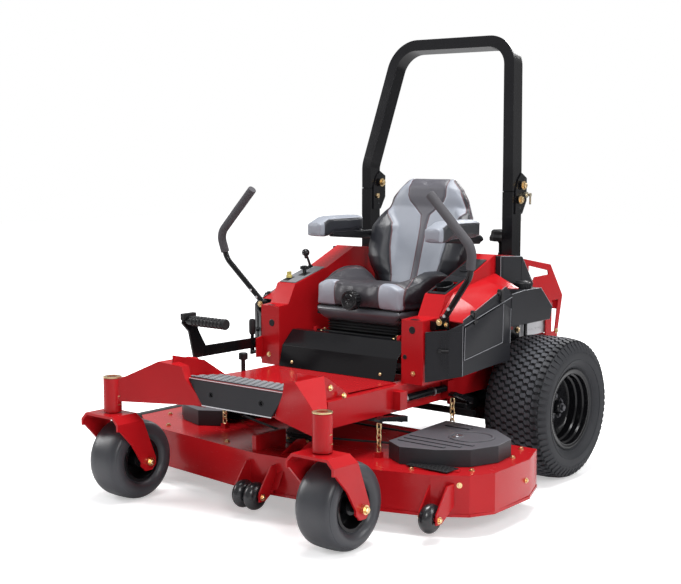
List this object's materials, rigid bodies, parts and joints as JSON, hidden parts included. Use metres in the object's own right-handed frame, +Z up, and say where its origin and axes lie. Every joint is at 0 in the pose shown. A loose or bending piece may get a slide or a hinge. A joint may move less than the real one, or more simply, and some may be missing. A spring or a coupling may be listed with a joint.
{
  "type": "zero turn mower",
  "caption": "Ride-on zero-turn mower with side-discharge deck, swivelling front casters, twin steering levers, suspension seat and folding roll bar.",
  "frame": {"origin": "on the ground, in the machine's centre plane, straight below the drive wheels' axle", "axes": "+X to the operator's left, -Y the driving direction, +Z up"},
  "size_m": [1.9193, 2.034, 1.8526],
  "materials": {
    "red_paint": "glossy powder coat",
    "black_paint": "glossy powder coat",
    "black_plastic": "moulded, fine grain",
    "gloss_black_plastic": "moulded, glossy",
    "grey_panel": "fine grain",
    "turf_rubber": "moulded tread",
    "slick_rubber": "smooth",
    "foam_rubber": "closed-cell foam grip",
    "roller_plastic": "turned",
    "tread_rubber": "moulded pattern",
    "zinc": "yellow zinc plate",
    "bare_steel": "ground edges",
    "cast_alloy": "cast, dark",
    "cast_iron": "painted black",
    "vinyl_dark": "coated vinyl",
    "vinyl_grey": "coated vinyl",
    "belt_rubber": "fabric-faced belt"
  },
  "bodies": {
    "chassis": {"main_frame": "red_paint", "front_carrier": "red_paint", "footrest_pads": "tread_rubber", "kick_panel": "black_paint", "consoles": "red_paint", "control_panel": "grey_panel", "side_covers": "black_plastic", "fuel_tanks": "gloss_black_plastic", "engine": "cast_alloy", "air_cleaner": "black_plastic", "hydro_drives": "cast_alloy", "engine_guard": "red_paint", "rops_posts": "black_paint", "side_struts": "black_paint"},
    "caster_swivel_left": {"caster_fork_left": "red_paint"},
    "caster_swivel_right": {"caster_fork_right": "red_paint"},
    "caster_wheel_left": {"caster_tyre_left": "slick_rubber", "caster_rim_left": "black_paint"},
    "caster_wheel_right": {"caster_tyre_right": "slick_rubber", "caster_rim_right": "black_paint"},
    "drive_wheel_left": {"drive_tyre_left": "turf_rubber", "drive_rim_left": "black_paint"},
    "drive_wheel_right": {"drive_tyre_right": "turf_rubber", "drive_rim_right": "black_paint"},
    "roll_bar": {"rops_hoop": "black_paint"},
    "rops_pin_left": {"rops_pin_left": "zinc"},
    "rops_pin_right": {"rops_pin_right": "zinc"},
    "lever_hub_left": {"lever_hub_left": "zinc"},
    "lever_hub_right": {"lever_hub_right": "zinc"},
    "lever_left": {"lever_tube_left": "black_paint", "lever_grip_left": "foam_rubber"},
    "lever_right": {"lever_tube_right": "black_paint", "lever_grip_right": "foam_rubber"},
    "lift_pedal": {"lift_pedal": "black_paint"},
    "brake_lever": {"brake_lever": "black_paint"},
    "height_dial": {"height_dial": "black_plastic"},
    "throttle_lever": {"throttle_lever": "black_plastic"},
    "pto_knob": {"pto_knob": "black_plastic"},
    "ignition_key": {"ignition_key": "bare_steel"},
    "fuel_cap": {"fuel_cap": "black_plastic"},
    "seat": {"seat_frame": "black_plastic", "seat_cushion": "vinyl_dark", "seat_backrest": "vinyl_grey"},
    "armrest_left": {"armrest_left": "vinyl_grey"},
    "armrest_right": {"armrest_right": "vinyl_grey"},
    "seat_knob": {"seat_knob": "black_plastic"},
    "deck": {"deck_shell": "red_paint", "spindle_housings": "cast_iron", "belt_covers": "black_plastic", "deck_chains": "zinc", "deck_belt": "belt_rubber"},
    "front_rollers": {"front_rollers": "roller_plastic"},
    "corner_roller_left": {"corner_roller_left": "roller_plastic"},
    "corner_roller_right": {"corner_roller_right": "roller_plastic"},
    "spindle_left": {"spindle_left": "bare_steel"},
    "spindle_middle": {"spindle_middle": "bare_steel"},
    "spindle_right": {"spindle_right": "bare_steel"},
    "chute_deflector": {"chute_deflector": "black_plastic"},
    "front_lift_shaft": {"front_lift_shaft": "black_paint"},
    "rear_lift_shaft": {"rear_lift_shaft": "black_paint"}
  },
  "joints": [
    {"name": "caster_swivel_left", "type": "hinge", "parent": "chassis", "child": "caster_swivel_left", "pos_m": [0.532, -1.433, 0.4], "axis": [0, 0, 1], "continuous": true},
    {"name": "caster_spin_left", "type": "hinge", "parent": "caster_swivel_left", "child": "caster_wheel_left", "pos_m": [0.532, -1.347, 0.157], "axis": [1, 0, 0], "continuous": true},
    {"name": "drive_spin_left", "type": "hinge", "parent": "chassis", "child": "drive_wheel_left", "pos_m": [0.555, 0, 0.294], "axis": [1, 0, 0], "continuous": true},
    {"name": "rops_pin_pull_left", "type": "slide", "parent": "chassis", "child": "rops_pin_left", "axis": [1, 0, 0], "range_m": [0, 0.03]},
    {"name": "lever_drive_left", "type": "hinge", "parent": "chassis", "child": "lever_hub_left", "pos_m": [0.44, -0.64, 0.692], "axis": [1, 0, 0], "range_deg": [-18, 18]},
    {"name": "lever_swing_left", "type": "hinge", "parent": "lever_hub_left", "child": "lever_left", "pos_m": [0.466, -0.64, 0.708], "axis": [0, 1, 0], "range_deg": [-30, 0]},
    {"name": "armrest_flip_left", "type": "hinge", "parent": "seat", "child": "armrest_left", "pos_m": [0.25, -0.124, 0.99], "axis": [-1, 0, 0], "range_deg": [0, 80]},
    {"name": "caster_swivel_right", "type": "hinge", "parent": "chassis", "child": "caster_swivel_right", "pos_m": [-0.532, -1.433, 0.4], "axis": [0, 0, 1], "continuous": true},
    {"name": "caster_spin_right", "type": "hinge", "parent": "caster_swivel_right", "child": "caster_wheel_right", "pos_m": [-0.532, -1.347, 0.157], "axis": [1, 0, 0], "continuous": true},
    {"name": "drive_spin_right", "type": "hinge", "parent": "chassis", "child": "drive_wheel_right", "pos_m": [-0.555, 0, 0.294], "axis": [1, 0, 0], "continuous": true},
    {"name": "rops_pin_pull_right", "type": "slide", "parent": "chassis", "child": "rops_pin_right", "axis": [-1, 0, 0], "range_m": [0, 0.03]},
    {"name": "lever_drive_right", "type": "hinge", "parent": "chassis", "child": "lever_hub_right", "pos_m": [-0.44, -0.64, 0.692], "axis": [1, 0, 0], "range_deg": [-18, 18]},
    {"name": "lever_swing_right", "type": "hinge", "parent": "lever_hub_right", "child": "lever_right", "pos_m": [-0.466, -0.64, 0.708], "axis": [0, -1, 0], "range_deg": [-30, 0]},
    {"name": "armrest_flip_right", "type": "hinge", "parent": "seat", "child": "armrest_right", "pos_m": [-0.25, -0.124, 0.99], "axis": [-1, 0, 0], "range_deg": [0, 80]},
    {"name": "rops_fold", "type": "hinge", "parent": "chassis", "child": "roll_bar", "pos_m": [0, 0.02, 1.214], "axis": [-1, 0, 0], "range_deg": [0, 95]},
    {"name": "seat_tilt", "type": "hinge", "parent": "chassis", "child": "seat", "pos_m": [0, -0.578, 0.608], "axis": [1, 0, 0], "range_deg": [0, 60]},
    {"name": "seat_knob_turn", "type": "hinge", "parent": "seat", "child": "seat_knob", "pos_m": [0, -0.6, 0.754], "axis": [0, -1, 0], "continuous": true},
    {"name": "deck_lift", "type": "slide", "parent": "chassis", "child": "deck", "axis": [0, 0, 1], "range_m": [0, 0.065]},
    {"name": "front_shaft_turn", "type": "hinge", "parent": "chassis", "child": "front_lift_shaft", "pos_m": [0, -0.8, 0.346], "axis": [-1, 0, 0], "range_deg": [0, 26.6]},
    {"name": "rear_shaft_turn", "type": "hinge", "parent": "chassis", "child": "rear_lift_shaft", "pos_m": [0, -0.35, 0.346], "axis": [-1, 0, 0], "range_deg": [0, 37.9]},
    {"name": "pedal_push", "type": "hinge", "parent": "chassis", "child": "lift_pedal", "pos_m": [-0.44, -0.722, 0.551], "axis": [1, 0, 0], "range_deg": [0, 15.7]},
    {"name": "brake_pull", "type": "hinge", "parent": "chassis", "child": "brake_lever", "pos_m": [-0.457, -0.722, 0.512], "axis": [1, 0, 0], "range_deg": [0, 25]},
    {"name": "height_dial_turn", "type": "hinge", "parent": "chassis", "child": "height_dial", "pos_m": [-0.327, -0.915, 0.5], "axis": [0, 0, 1], "range_deg": [0, 300]},
    {"name": "throttle_swing", "type": "hinge", "parent": "chassis", "child": "throttle_lever", "pos_m": [-0.39, -0.42, 0.85875], "axis": [1, 0, 0], "range_deg": [-20, 20]},
    {"name": "pto_pull", "type": "slide", "parent": "chassis", "child": "pto_knob", "axis": [0, 0, 1], "range_m": [0, 0.012]},
    {"name": "key_turn", "type": "hinge", "parent": "chassis", "child": "ignition_key", "pos_m": [-0.39, -0.56, 0.82], "axis": [0, 0, -1], "range_deg": [0, 70]},
    {"name": "fuel_cap_turn", "type": "hinge", "parent": "chassis", "child": "fuel_cap", "pos_m": [0.495, -0.11, 0.8], "axis": [0, 0, 1], "range_deg": [0, 120]},
    {"name": "front_rollers_spin", "type": "hinge", "parent": "deck", "child": "front_rollers", "pos_m": [0.03, -1.262, 0.085], "axis": [1, 0, 0], "continuous": true},
    {"name": "corner_roller_left_spin", "type": "hinge", "parent": "deck", "child": "corner_roller_left", "pos_m": [0.735, -1.092, 0.085], "axis": [1, 0, 0], "continuous": true},
    {"name": "corner_roller_right_spin", "type": "hinge", "parent": "deck", "child": "corner_roller_right", "pos_m": [-0.735, -1.168, 0.085], "axis": [1, 0, 0], "continuous": true},
    {"name": "spindle_middle_spin", "type": "hinge", "parent": "deck", "child": "spindle_middle", "pos_m": [0, -0.905, 0.2], "axis": [0, 0, 1], "continuous": true},
    {"name": "spindle_left_spin", "type": "hinge", "parent": "deck", "child": "spindle_left", "pos_m": [0.52, -0.72, 0.2], "axis": [0, 0, 1], "continuous": true},
    {"name": "spindle_right_spin", "type": "hinge", "parent": "deck", "child": "spindle_right", "pos_m": [-0.52, -0.72, 0.2], "axis": [0, 0, 1], "continuous": true},
    {"name": "chute_flip", "type": "hinge", "parent": "deck", "child": "chute_deflector", "pos_m": [-0.8713, -0.805, 0.219], "axis": [0, 1, 0], "range_deg": [0, 100]}
  ],
  "couplings": [
    {"joint": "front_shaft_turn", "follows": "deck_lift", "rad_per_m": 7.0642},
    {"joint": "rear_shaft_turn", "follows": "deck_lift", "rad_per_m": 10.084},
    {"joint": "pedal_push", "follows": "deck_lift", "rad_per_m": 4.2},
    {"joint": "spindle_left_spin", "follows": "spindle_middle_spin", "ratio": 1},
    {"joint": "spindle_right_spin", "follows": "spindle_middle_spin", "ratio": 1}
  ]
}
